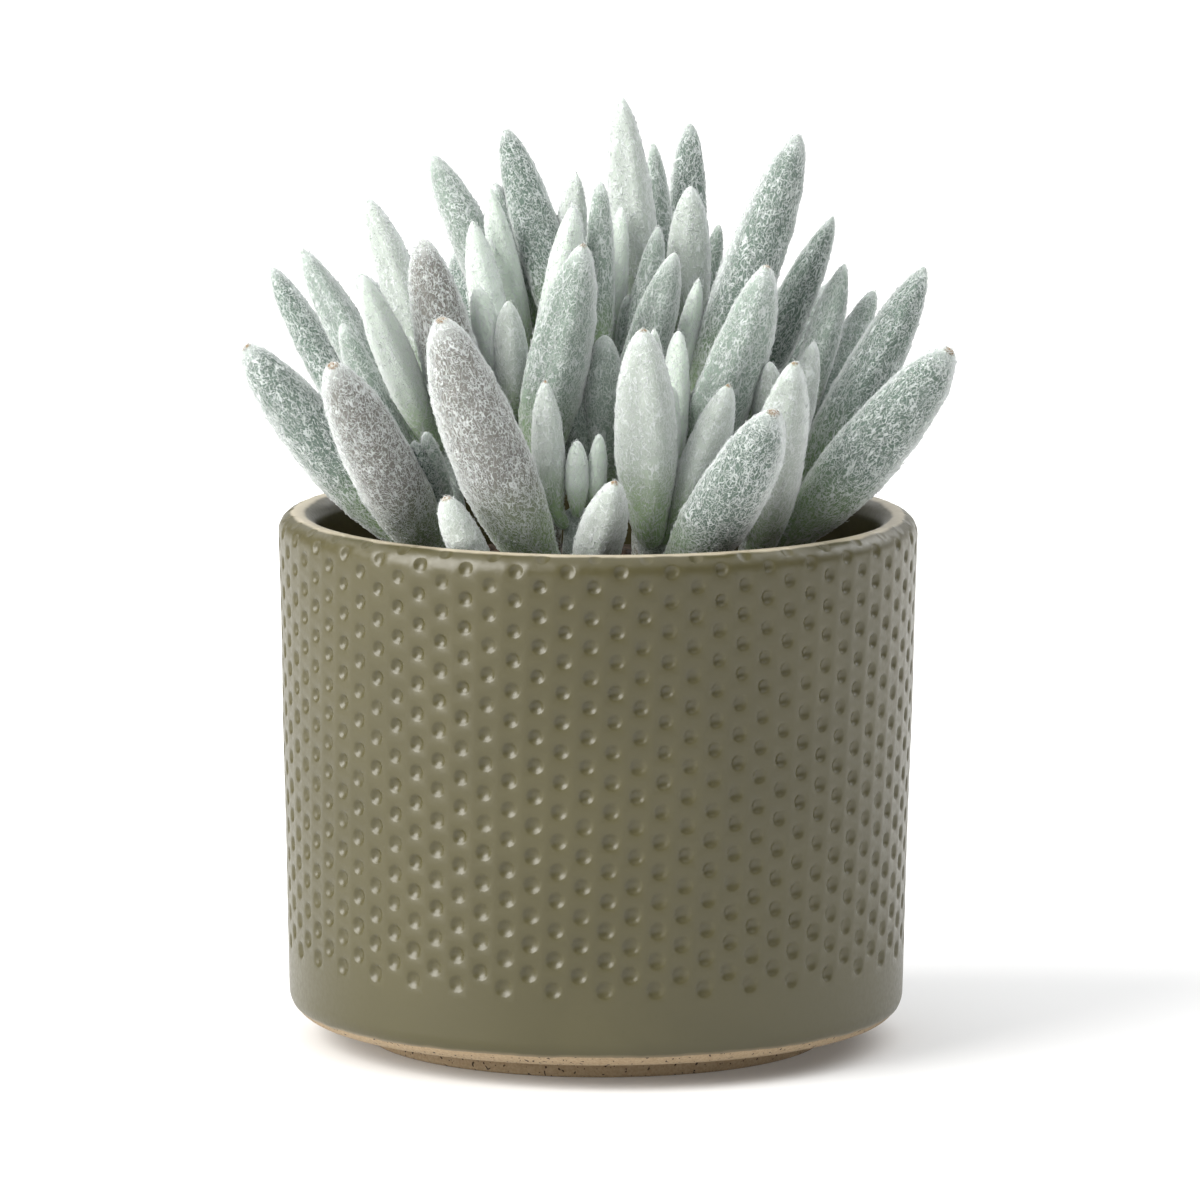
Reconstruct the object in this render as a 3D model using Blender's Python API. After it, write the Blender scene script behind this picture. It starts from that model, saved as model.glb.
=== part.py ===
"""A potted senecio: a stoneware pot on a bare clay foot, potting soil, ten short stems and their leaves.

Lengths are in millimetres, and MM turns them into Blender's metres. The origin is the centre of the
flat underside of the pot, +Z is up, and -Y is the side that the plant shows to its viewer.
"""

import math

import bmesh
import bpy
from mathutils import Vector

MM = 0.001
GAP = 0.3  # clearance between pieces that touch

# Pot
POT_RADIUS = 60.0
POT_HEIGHT = 99.8
RIM_ROUNDING = 3.6  # the rim is a full half round, so the wall is twice this
WALL_TAPER = 2.1  # how much narrower the wall is at its foot
HEEL_ROUNDING = 5.0
FOOT_RADIUS = 43.4
FOOT_HEIGHT = 4.3
FOOT_EDGE = 0.8
FOOT_FLARE = 0.6  # how much wider the foot is where it meets the heel
FLOOR_HEIGHT = 11.0  # inside
FLOOR_ROUNDING = 8.0
INNER_TAPER = 1.6
POT_SEGMENTS = 48
HEEL_STEPS = 4
RIM_STEPS = 6
FLOOR_STEPS = 3

# Soil
SOIL_HEIGHT = 86.0
SOIL_CROWN = 2.5  # how much higher the soil stands in the middle
SOIL_SHOULDER = 0.6  # where the crown turns flatter, as a share of its radius and of its height

# Stems
STEM_SIDES = 10
STEM_RADIUS = 2.9
STEM_TIP_RADIUS = 2.3
STEM_DOME = 0.6  # height of the blunt end over its radius
STEM_DEPTH = 12.0  # how far a stem goes down into the soil

# Leaves
LEAF_SIDES = 10
LEAF_FLATNESS = 0.88  # thickness over width
LEAF_FOOT = 0.42  # width at the foot of a leaf over its full width
LEAF_WIDEST = 0.45  # where along the leaf it is widest
LEAF_FULLNESS = 2.1  # how long a leaf keeps its width before it narrows to the tip
LEAF_BLUNTNESS = 0.6  # lower is blunter
LEAF_STATIONS = (0.03, 0.15, 0.31, 0.48, 0.64, 0.78, 0.89, 0.965)

# Each stem: where it leaves the soil (x, y), and its top (x, y, z)
STEMS = {
    "front": ((-4, -24), (-4, -24, 103)),
    "front_right": ((10, -20), (10, -20, 106)),
    "front_offshoot": ((-16, -38), (-16, -38, 93)),
    "left": ((-26, -8), (-29, 2, 113)),
    "right": ((28, -8), (32, -2, 112)),
    "middle_left": ((-15, -1), (-15, 0, 120)),
    "middle": ((0, 5), (0, 5, 126)),
    "middle_right": ((9, -4), (9, -2, 112)),
    "back_left": ((-10, 22), (-9, 22, 130)),
    "back_right": ((15, 18), (15, 18, 130)),
}

# Each leaf: height of its foot on the stem, its tip (x, y, z), full width, and how far it bows outwards
LEAVES = {
    "front": (
        (90, (-29, -46, 142), 16.0, 2),
        (101, (-10, -26, 128), 7.2, 0),
        (103, (-4, -28, 117), 4.4, 0),
        (103, (0, -26, 118), 4.1, 0),
        (90, (3, -46, 112), 9.2, 1),
    ),
    "front_right": (
        (98, (8, -36, 139), 11.6, 0),
        (91, (32, -52, 126), 14.0, 3),
        (98, (24, -30, 128), 9.2, 0),
    ),
    "front_offshoot": (
        (92, (-28, -46, 109), 8.0, 1),
    ),
    "left": (
        (93, (-66, -8, 132), 14.0, 1),
        (95, (-62, 22, 143), 8.8, 1),
        (107, (-56, 10, 148), 9.0, -1),
        (102.5, (-48, -7, 136), 7.4, 1.2),
        (112, (-44, -23, 147), 7.7, 0),
        (91, (-49, -42, 133), 13.6, 1),
        (113, (-44, 18, 157), 8.0, -7),
    ),
    "right": (
        (95, (65, -24, 134), 15.0, 0),
        (98, (61, 4, 146), 12.0, 0),
        (105.5, (52, 24, 139), 7.2, 1),
        (112, (46, 8, 146), 7.4, 0),
        (106, (40, -14, 134), 6.6, 0),
        (93, (36, -36, 133), 10.1, 1),
    ),
    "middle_left": (
        (117, (-17, -12, 141), 6.8, 0),
        (105, (-3, -22, 153), 11.8, 0),
        (118, (-5, -3, 158), 9.5, 0),
        (104, (-33, -16, 153), 12.5, 2),
        (120, (-24, 14, 153), 7.4, 0),
    ),
    "middle": (
        (100, (1, -15, 135), 8.6, 0),
        (124, (0, 2, 162), 5.7, 0),
        (118, (11, 6, 153), 7.0, 0),
        (112, (14, -10, 150), 9.0, 0),
        (125, (4, 13, 156), 4.9, 0),
        (122, (-18, 36, 168), 9.5, 0),
    ),
    "middle_right": (
        (104, (31, -20, 149), 12.6, 4),
        (110, (37, 2, 171), 13.2, 0),
    ),
    "back_left": (
        (120, (-32, 36, 163), 9.6, -3),
        (124, (-21, 18, 159), 6.8, 0),
        (100, (-46, 38, 140), 10.0, 1),
        (106, (-28, 56, 142), 11.0, 1),
        (96, (-12, 62, 128), 11.0, 1),
    ),
    "back_right": (
        (104, (44, 16, 154), 9.8, 0),
        (124, (4, 20, 176), 10.4, 0),
        (130, (10, 32, 166), 4.8, 0),
        (118, (17, 40, 169), 8.1, 0),
        (127, (17, 12, 160), 8.6, 0),
        (98, (46, 38, 140), 10.5, 1),
        (104, (26, 56, 143), 11.0, 1),
        (94, (6, 62, 126), 11.0, 1),
    ),
}


def material(name, colour, roughness):
    made = bpy.data.materials.new(name)
    made.use_nodes = True
    shader = made.node_tree.nodes["Principled BSDF"]
    shader.inputs["Base Color"].default_value = (*colour, 1.0)
    shader.inputs["Roughness"].default_value = roughness
    shader.inputs["Metallic"].default_value = 0.0
    return made


def add_object(name, mesh_builder, finish):
    """Turns a bmesh, built in millimetres, into an object of the scene."""
    bmesh.ops.scale(mesh_builder, vec=(MM, MM, MM), verts=mesh_builder.verts)
    bmesh.ops.recalc_face_normals(mesh_builder, faces=mesh_builder.faces)
    mesh = bpy.data.meshes.new(name)
    mesh_builder.to_mesh(mesh)
    mesh_builder.free()
    mesh.shade_smooth()
    mesh.set_sharp_from_angle(angle=math.radians(40))
    mesh.materials.append(finish)
    made = bpy.data.objects.new(name, mesh)
    bpy.context.scene.collection.objects.link(made)
    return made


def loft(mesh_builder, rings, first_pole, last_pole):
    """Joins rings of points, each of the same count, and closes both ends on a pole."""
    made = [[mesh_builder.verts.new(point) for point in ring] for ring in rings]
    count = len(made[0])
    for lower, upper in zip(made, made[1:]):
        for i in range(count):
            j = (i + 1) % count
            mesh_builder.faces.new((lower[i], lower[j], upper[j], upper[i]))
    start = mesh_builder.verts.new(first_pole)
    end = mesh_builder.verts.new(last_pole)
    for i in range(count):
        j = (i + 1) % count
        mesh_builder.faces.new((start, made[0][j], made[0][i]))
        mesh_builder.faces.new((end, made[-1][i], made[-1][j]))


def arc(centre, radius, start, end, steps):
    """Points (radius, height) round a corner, from one angle to another in degrees."""
    angles = [math.radians(start + (end - start) * i / steps) for i in range(steps + 1)]
    return [(centre[0] + radius * math.cos(a), centre[1] + radius * math.sin(a)) for a in angles]


def turned(name, profile, finish):
    """A turned solid. The profile runs from the axis at the bottom round to the axis at the top."""
    rings = []
    for radius, height in profile[1:-1]:
        turns = [2 * math.pi * i / POT_SEGMENTS for i in range(POT_SEGMENTS)]
        rings.append([(radius * math.cos(a), radius * math.sin(a), height) for a in turns])
    mesh_builder = bmesh.new()
    loft(mesh_builder, rings, (0, 0, profile[0][1]), (0, 0, profile[-1][1]))
    return add_object(name, mesh_builder, finish)


def inner_radius(height):
    """Radius of the inside wall of the pot at a height."""
    rim_height = POT_HEIGHT - RIM_ROUNDING
    share = (rim_height - height) / (rim_height - FLOOR_HEIGHT)
    return POT_RADIUS - 2 * RIM_ROUNDING - INNER_TAPER * share


def pot(finish):
    heel_height = FOOT_HEIGHT + HEEL_ROUNDING
    heel_radius = POT_RADIUS - WALL_TAPER - HEEL_ROUNDING
    rim = (POT_RADIUS - RIM_ROUNDING, POT_HEIGHT - RIM_ROUNDING)
    corner_height = FLOOR_HEIGHT + FLOOR_ROUNDING
    corner = (inner_radius(corner_height) - FLOOR_ROUNDING, corner_height)
    profile = [
        (0, 0),
        (FOOT_RADIUS - FOOT_EDGE, 0),
        (FOOT_RADIUS, FOOT_EDGE),
        (FOOT_RADIUS + FOOT_FLARE, FOOT_HEIGHT),
    ]
    profile += arc((heel_radius, heel_height), HEEL_ROUNDING, -90, 0, HEEL_STEPS)
    profile += arc(rim, RIM_ROUNDING, 0, 180, RIM_STEPS)
    profile += arc(corner, FLOOR_ROUNDING, 0, -90, FLOOR_STEPS)
    profile.append((0, FLOOR_HEIGHT))
    return turned("pot", profile, finish)


def soil(finish):
    """Fills the pot a hair clear of its wall, with a socket for each stem."""
    corner_height = FLOOR_HEIGHT + FLOOR_ROUNDING
    corner = (inner_radius(corner_height) - FLOOR_ROUNDING, corner_height)
    profile = [(0, FLOOR_HEIGHT + GAP)]
    profile += arc(corner, FLOOR_ROUNDING - GAP, -90, 0, FLOOR_STEPS)
    profile.append((inner_radius(SOIL_HEIGHT) - GAP, SOIL_HEIGHT))
    profile.append((SOIL_SHOULDER * POT_RADIUS, SOIL_HEIGHT + SOIL_SHOULDER * SOIL_CROWN))
    profile.append((0, SOIL_HEIGHT + SOIL_CROWN))
    made = turned("soil", profile, finish)
    for name, (root, _) in STEMS.items():
        cutter = round_bar(
            f"socket_{name}",
            Vector((*root, SOIL_HEIGHT - STEM_DEPTH - GAP)),
            Vector((*root, SOIL_HEIGHT + STEM_DEPTH)),
            STEM_RADIUS + GAP,
            STEM_RADIUS + GAP,
            finish,
        )
        cutter.hide_render = True
        cutter.display_type = "WIRE"
        cut = made.modifiers.new(f"socket_{name}", "BOOLEAN")
        cut.operation = "DIFFERENCE"
        cut.object = cutter
    return made


def ring_round(centre, side, normal, half_width, half_thickness, sides):
    turns = [2 * math.pi * i / sides for i in range(sides)]
    across, through = side * half_width, normal * half_thickness
    return [centre + across * math.cos(a) + through * math.sin(a) for a in turns]


def round_bar(name, start, end, start_radius, end_radius, finish):
    along = (end - start).normalized()
    side = along.cross(Vector((0, 1, 0))).normalized()
    normal = along.cross(side)
    rings = [
        ring_round(start, side, normal, start_radius, start_radius, STEM_SIDES),
        ring_round(end, side, normal, end_radius, end_radius, STEM_SIDES),
    ]
    mesh_builder = bmesh.new()
    loft(mesh_builder, rings, start, end)
    return add_object(name, mesh_builder, finish)


def stem(name, root, top, finish):
    """Straight down in its socket, then leaning to its top, which ends in a blunt dome."""
    buried = Vector((*root, SOIL_HEIGHT - STEM_DEPTH))
    collar = Vector((*root, SOIL_HEIGHT + SOIL_CROWN))
    top = Vector(top)
    side, normal = Vector((1, 0, 0)), Vector((0, 1, 0))
    stations = ((buried, STEM_RADIUS), (collar, STEM_RADIUS), (top, STEM_TIP_RADIUS))
    rings = [ring_round(at, side, normal, radius, radius, STEM_SIDES) for at, radius in stations]
    mesh_builder = bmesh.new()
    loft(mesh_builder, rings, buried, top + Vector((0, 0, STEM_DOME * STEM_TIP_RADIUS)))
    return add_object(name, mesh_builder, finish)


def leaf_width(along):
    """Width of a leaf over its full width: narrow at the foot, full in the middle, blunt at the tip."""
    if along < LEAF_WIDEST:
        return LEAF_FOOT + (1 - LEAF_FOOT) * math.sin(math.pi / 2 * along / LEAF_WIDEST)
    beyond = (along - LEAF_WIDEST) / (1 - LEAF_WIDEST)
    return (1 - beyond**LEAF_FULLNESS) ** LEAF_BLUNTNESS


def leaf(name, stem_name, height, tip, width, bow, finish):
    """Grows from a point on the side of its stem to its tip, along a line that bows outwards."""
    root, top = STEMS[stem_name]
    collar = Vector((*root, SOIL_HEIGHT + SOIL_CROWN))
    top, tip = Vector(top), Vector(tip)
    share = (height - collar.z) / (top.z - collar.z)
    on_stem = collar.lerp(top, share)
    outward = Vector((tip.x - on_stem.x, tip.y - on_stem.y, 0)).normalized()
    stem_radius = STEM_RADIUS + (STEM_TIP_RADIUS - STEM_RADIUS) * share
    joint = on_stem + outward * (stem_radius + GAP)
    foot = joint + outward * (LEAF_FOOT * width / 2)
    chord = (tip - foot).normalized()
    side = outward.cross(Vector((0, 0, 1)))
    below = chord.cross(side)
    if below.z > 0:
        below = -below
    middle = (foot + tip) / 2 + below * bow

    rings = []
    for t in LEAF_STATIONS:
        centre = foot * (1 - t) ** 2 + middle * (2 * t * (1 - t)) + tip * t**2
        heading = ((middle - foot) * (1 - t) + (tip - middle) * t).normalized()
        half = leaf_width(t) * width / 2
        rings.append(ring_round(centre, side, heading.cross(side), half, half * LEAF_FLATNESS, LEAF_SIDES))
    mesh_builder = bmesh.new()
    loft(mesh_builder, rings, joint, tip)
    return add_object(name, mesh_builder, finish)


def main():
    for old in list(bpy.data.objects):
        bpy.data.objects.remove(old)
    pot(material("olive glaze", (0.235, 0.215, 0.130), 0.45))
    soil(material("potting soil", (0.045, 0.032, 0.022), 0.95))
    bark = material("stem", (0.330, 0.360, 0.230), 0.8)
    felt = material("woolly leaf", (0.520, 0.590, 0.530), 0.9)
    for name, (root, top) in STEMS.items():
        stem(f"stem_{name}", root, top, bark)
        for number, (height, tip, width, bow) in enumerate(LEAVES[name], 1):
            leaf(f"leaf_{name}_{number}", name, height, tip, width, bow, felt)


main()
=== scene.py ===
"""The looks of a potted senecio: felted leaves, stems, soil and a dimpled stoneware pot.

Shapes are built in millimetres and turned into metres when their mesh is made. The frame gives each
leaf's and stem's place: a leaf here is lofted on the same curve as its solid, with its felt, ridges and
tip added. -Y is the side that the plant shows to its viewer.
"""

import math
import random

import bpy
import numpy as np
from mathutils import Matrix, Vector, noise


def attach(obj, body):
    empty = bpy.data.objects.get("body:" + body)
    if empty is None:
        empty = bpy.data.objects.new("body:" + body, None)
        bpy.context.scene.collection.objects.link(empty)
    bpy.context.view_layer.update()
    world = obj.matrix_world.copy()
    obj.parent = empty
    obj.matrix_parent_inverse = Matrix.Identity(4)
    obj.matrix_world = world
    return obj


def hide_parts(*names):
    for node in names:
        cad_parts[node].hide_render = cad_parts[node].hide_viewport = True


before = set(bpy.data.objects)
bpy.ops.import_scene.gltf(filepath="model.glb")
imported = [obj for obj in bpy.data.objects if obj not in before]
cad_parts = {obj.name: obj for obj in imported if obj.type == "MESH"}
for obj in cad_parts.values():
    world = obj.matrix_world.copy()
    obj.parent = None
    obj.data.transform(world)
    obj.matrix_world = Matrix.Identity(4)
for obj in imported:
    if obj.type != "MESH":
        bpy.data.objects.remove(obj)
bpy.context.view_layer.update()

MM = 0.001

# Pot, in the same sizes as its solid
POT_RADIUS = 60.0
POT_HEIGHT = 99.8
RIM_ROUNDING = 3.6
WALL_TAPER = 2.1
HEEL_ROUNDING = 5.0
FOOT_RADIUS = 43.4
FOOT_HEIGHT = 4.3
FOOT_EDGE = 0.8
FOOT_FLARE = 0.6
FLOOR_HEIGHT = 11.0
FLOOR_ROUNDING = 8.0
INNER_TAPER = 1.6
CORNER_HEIGHT = FLOOR_HEIGHT + FLOOR_ROUNDING  # inside, where the wall meets the floor's rounding
GLAZE_EDGE = 6.4  # height where the glaze stops
GLAZE_THICKNESS = 0.16
GLAZE_STEP = 0.25  # half the height over which the glaze runs out
THIN_GLAZE = 0.7  # height over its edge up to which the glaze is thin
RIM_BREAK_AND_HIGHLIGHT = (99.40, 99.72)  # heights between which the glaze thins and the pale clay shows, the band's paleness partly a painted highlight along the crest
POOLING = 0.03  # how much darker the glaze is in a dimple
GLAZE_ROUGHNESS = 0.37
CLAY_ROUGHNESS = 0.85
POT_UNEVENNESS = 0.15
HEEL_HEIGHT = FOOT_HEIGHT + HEEL_ROUNDING
RIM_CENTRE = (POT_RADIUS - RIM_ROUNDING, POT_HEIGHT - RIM_ROUNDING)  # (radius, height)
RIM_QUARTER = RIM_ROUNDING * math.pi / 2  # length over the rim's rounding, from its crest to the wall
RIM_STEPS = 10
WALL_STEPS = 5  # below the dimples
HEEL_STEPS = 24
FOOT_STEPS = 4
CORNER_STEPS = 5
LEDGE_SHARES = (0.4, 0.8, 0.97)  # rings from the heel in to the foot
FOOT_SHARES = (0.1, 0.35, 0.7, 1.0)  # rings down the foot
BASE_RADII = (36.0, 20.0, 7.0)
INNER_HEIGHTS = (92, 88, 82, 70, 50, 32)
FLOOR_RADII = (24.0, 8.0)

# Dimples: two sets of columns, staggered by half a row
DIMPLE_COLUMNS = 39
DIMPLE_ROWS = 15
DIMPLE_PITCH = 5.56  # from row to row
FIRST_ROW = 4.84  # distance of the first row from the crest of the rim, over the rounding
FIRST_COLUMN = 3.9  # degrees to the right of the front
COLUMN_TWIST = -2.35  # degrees that a column drifts from its top to its bottom
DIMPLE_RADIUS = (1.36, 1.68)  # at the top row and at the bottom row
DIMPLE_DEPTH = 0.66
DIMPLE_DRIFT = 0.12  # how far a dimple may lie off its place
DIMPLE_RINGS = ((0.40, 0.90), (0.74, 0.56), (0.95, 0.16), (1.14, 0.0))  # shares of radius and depth
COLUMNS = 2 * DIMPLE_COLUMNS

# The lattice that holds them: each dimple lies in a cell of some spans across and some steps down
CELL_SPANS = 3
CELL_STEPS = 4
SPANS = COLUMNS * CELL_SPANS
STEP = DIMPLE_PITCH / CELL_STEPS
LATTICE_TOP = FIRST_ROW - DIMPLE_PITCH
LATTICE_ROWS = CELL_STEPS * DIMPLE_ROWS + CELL_STEPS // 2

# Soil
SOIL_HEIGHT = 86.0
SOIL_CROWN = 2.5
SOIL_RINGS = 70
SOIL_SIDES = 150
SOIL_MIDDLE = 60  # height of a ring part of the way down its side
SOIL_CORNER_STEPS = 4
SOIL_ROUGHNESS = 1.3
SOIL_GAP = 0.3
SOIL_LUMPS = ((14.0, 0.5), (5.0, 0.35), (1.8, 0.28))  # size, and height over the roughness
CRUMBS = 240
CRUMB_RINGS = 6
CRUMB_SIDES = 9
CRUMB_SIZE = (0.5, 1.9)  # radius
CRUMB_MARGIN = 2.5  # distance from the wall of the pot
CRUMB_ROUGHNESS = 0.5

# Stems
STEM_STEPS = 26
STEM_SIDES = 24
STEM_KNOBS = 0.10
STEM_OLD_LENGTH = 12  # how far up from the soil the bark turns from brown to green
STEM_COVER = 0.55
STEM_OLD_BARENESS = 0.35

# Leaves
LEAF_STATIONS = (0.03, 0.15, 0.31, 0.48, 0.64, 0.78, 0.89, 0.965)  # of the rings of a leaf's solid
SOLID_LEAF_SIDES = 10
LEAF_STEPS = 48
LEAF_SIDES = 26
LEAF_FOOT = 0.36
LEAF_WIDEST = 0.45
LEAF_FULLNESS = 2.4
TIP_SHARPNESS = {"round": 0.52, "keel": 0.66, "ridged": 0.60, "folded": 0.62}
UPPER_THICKNESS = 0.74  # of the side that faces up the stem, over the leaf's width
LOWER_THICKNESS = 0.94
BASE_REACH = 0.14  # share of the leaf that turns in to the stem
BASE_SINK = 1.1  # how far its base goes into the stem
TIP_CROWDING = 1.8  # crowds a leaf's rings towards its tip
RIDGE_BANDS = ((0.1, 0.35), (0.8, 0.98))  # where along the leaf its ridges rise and fade

# Felt. A band is where along the leaf something grows from nothing to its full share
FELT_UNEVENNESS = 0.05
FELT_BAND = (0.0, 0.2)
GRAIN_STRETCH = 0.5  # hairs lie along the leaf, so its grain is drawn out this much
CURLS = ((1.3, 0.0, 0.038), (1.05, 0.31, 0.038), (1.6, 0.67, 0.034))  # layers: size, shift and width
CURL_DISTORTION = 1.3
# Painted sheen: the felt's cover is whitened along each leaf's outline as seen from the viewer, by this
# much and this narrowly
PAINTED_SHEEN = 0.70
PAINTED_SHEEN_NARROWNESS = 9
TIP_WHITENESS = 0.45
TIP_BAND = (0.90, 1.0)
FULLEST_COVER = 0.97
GREENNESS = 0.85  # of the flesh at the leaf's base
GREEN_BAND = (0.10, 0.50)
GREEN_BARENESS = 0.55  # how much felt the green base lacks
BROWN_REACH = (0.7, 0.2)  # distances from the tip between which the point turns brown
BROWN_BARENESS = 0.92

# Wool: single hairs that stand a little off the felt
HAIRS_PER_MM2 = {"grey": 1.9, "green": 1.9, "sage": 1.6, "pale": 1.3, "mint": 0.9}
HAIR_LENGTH = (0.7, 1.4)
HAIR_RADIUS = 0.06
HAIR_BEND = 1.3  # radians
HAIR_LIFT = 0.14
HAIR_ROOT = 0.1  # depth of the root under the felt
HAIR_CORNERS = 3
# Corners of a hair's faces: 0 is its root, 1 to 3 go round its middle and 4 is its tip
HAIR_FACES = ((2, 1, 0), (3, 2, 0), (1, 3, 0), (1, 2, 4), (2, 3, 4), (3, 1, 4))

# Camera, in metres and degrees
CAMERA_PLACE = (0.000375, -2.0, 0.383)
CAMERA_DOWN = 8.53
CAMERA_ROLL = 0.3
LENS = 322.7
SENSOR = 36.0
LOOK_DOWN = math.radians(CAMERA_DOWN)
TOWARDS_VIEWER = np.array((0.0, -math.cos(LOOK_DOWN), math.sin(LOOK_DOWN)))

# Studio
COVE = ((7.2, 0.0), (7.75, 0.1), (8.15, 0.35), (8.3, 0.8))  # the floor's edge: radius and height in metres
COVE_SIDES = 64
ROOM_LIGHT = 0.31
FLOOR_GLOW = 0.09
# Name, azimuth, elevation, strength, width and colour of each light. Azimuth is 0 at the viewer
LIGHTS = (
    ("key", -64.0, 31.0, 5.1, 52.0, (1.0, 0.985, 0.955)),
    ("front", 12.0, 22.0, 0.22, 90.0, (1.0, 1.0, 1.0)),
    ("top", 170.0, 74.0, 2.4, 110.0, (0.99, 0.995, 1.0)),
    ("rim", 130.0, 35.0, 0.7, 40.0, (0.97, 0.985, 1.0)),
)

# Colours, linear
OLIVE = (0.052, 0.0445, 0.0122)
OLIVE_PALE = (0.060, 0.0515, 0.0155)
OLIVE_DARK = (0.045, 0.038, 0.0135)
# paler than the bare clay: the glaze thinning on the rim's crest, with a painted highlight along it
RIM_PALE_AND_HIGHLIGHT = (0.470, 0.415, 0.310)
GLAZE_BREAK = (0.200, 0.155, 0.090)
CLAY = (0.370, 0.280, 0.175)
CLAY_DARK = (0.290, 0.210, 0.120)
CLAY_SPECK = (0.050, 0.030, 0.018)
SOIL_DARK = (0.018, 0.012, 0.008)
SOIL_LIGHT = (0.085, 0.055, 0.035)
SOIL_FIBRE = (0.150, 0.095, 0.055)
WOOL = (0.595, 0.630, 0.624)
WOOL_GREY = (0.530, 0.565, 0.555)
BASE_GREEN = (0.270, 0.390, 0.180)
TIP_BROWN = (0.200, 0.120, 0.050)
STEM_BROWN = (0.160, 0.125, 0.070)
FLOOR_COLOUR = (0.720, 0.720, 0.720)
FLOOR_COLOUR_WARM = (0.725, 0.722, 0.717)

# Tones of leaves: colour of the flesh, and how much of it the felt covers
TONES = {
    "grey": ((0.132, 0.124, 0.108), 0.28),
    "green": ((0.076, 0.118, 0.092), 0.25),
    "sage": ((0.145, 0.205, 0.160), 0.38),
    "pale": ((0.300, 0.345, 0.295), 0.48),
    "mint": ((0.560, 0.690, 0.535), 0.62),
}

# Ridges of leaves: degrees from the side that the viewer sees, rise over the radius, width in degrees
RIDGES = {
    "round": (),
    "keel": ((6, 0.13, 18), (-30, -0.06, 16)),
    "ridged": ((-46, 0.11, 15), (2, 0.12, 14), (44, 0.10, 15)),
    "folded": ((-58, 0.10, 18), (-18, -0.10, 15), (22, 0.12, 16)),
}

# Each stem's leaves: tone, ridges, and whether the point has turned brown
LOOKS = {
    "front": (
        ("grey", "round", True),
        ("pale", "keel", True),
        ("mint", "round", False),
        ("mint", "round", False),
        ("pale", "keel", True),
    ),
    "front_right": (
        ("pale", "folded", True),
        ("green", "round", True),
        ("pale", "keel", True),
    ),
    "front_offshoot": (("pale", "round", True),),
    "left": (
        ("green", "round", True),
        ("green", "round", False),
        ("sage", "folded", False),
        ("sage", "round", False),
        ("mint", "keel", False),
        ("grey", "round", True),
        ("pale", "folded", False),
    ),
    "right": (
        ("green", "round", True),
        ("green", "keel", False),
        ("sage", "round", False),
        ("sage", "keel", False),
        ("pale", "keel", False),
        ("pale", "folded", True),
    ),
    "middle_left": (
        ("pale", "keel", False),
        ("sage", "folded", True),
        ("mint", "keel", False),
        ("grey", "round", False),
        ("mint", "keel", False),
    ),
    "middle": (
        ("sage", "round", False),
        ("sage", "round", False),
        ("sage", "ridged", False),
        ("sage", "folded", False),
        ("mint", "round", False),
        ("green", "round", False),
    ),
    "middle_right": (
        ("sage", "ridged", True),
        ("green", "round", False),
    ),
    "back_left": (
        ("sage", "round", False),
        ("mint", "keel", False),
        ("sage", "round", False),
        ("green", "keel", False),
        ("sage", "folded", False),
    ),
    "back_right": (
        ("green", "keel", False),
        ("pale", "folded", False),
        ("sage", "round", False),
        ("green", "round", False),
        ("pale", "ridged", False),
        ("sage", "round", False),
        ("green", "keel", False),
        ("sage", "round", False),
    ),
}

# Small leaves beside the larger ones: height on the stem, tip (x, y, z), full width, look
YOUNG_LEAVES = {
    "left": (
        (97, (-32, -30, 118.7), 4.7, ("sage", "round", False)),
        (96, (-34.2, -30, 116.9), 5.0, ("green", "round", False)),
    ),
    "right": ((108, (31.7, -20, 130.9), 6.4, ("pale", "keel", False)),),
    "front_right": (
        (104, (10.1, -33, 138.6), 5.4, ("pale", "keel", False)),
        (105, (14.7, -16, 136.1), 6.2, ("mint", "round", False)),
        (106, (13.3, -24, 126.9), 5.0, ("mint", "round", False)),
    ),
    "middle_left": (
        (119, (-22.8, -10, 143.5), 6.4, ("mint", "round", False)),
        (112, (-4.5, 8, 156.5), 9.0, ("pale", "folded", False)),
    ),
    "middle": (
        (98, (-6, -12, 127), 8.0, ("sage", "round", False)),
        (104, (5.2, 6, 140), 6.0, ("sage", "round", False)),
        (106, (-9, 0, 138), 7.0, ("sage", "round", False)),
        (110, (12, 0, 140), 7.0, ("sage", "keel", False)),
    ),
    "middle_right": ((112, (18.5, 0, 144), 6.0, ("mint", "keel", False)),),
    "back_left": (
        (128, (-19.9, 30, 158.3), 7.0, ("sage", "round", False)),
        (130, (-4.7, 28, 160.8), 6.8, ("pale", "keel", False)),
    ),
    "back_right": ((128, (22.5, 22, 151.6), 4.6, ("sage", "round", False)),),
}


def smoothstep(low, high, value):
    share = min(1.0, max(0.0, (value - low) / (high - low)))
    return share * share * (3 - 2 * share)


def lerp(a, b, share):
    return a + (b - a) * share


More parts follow.
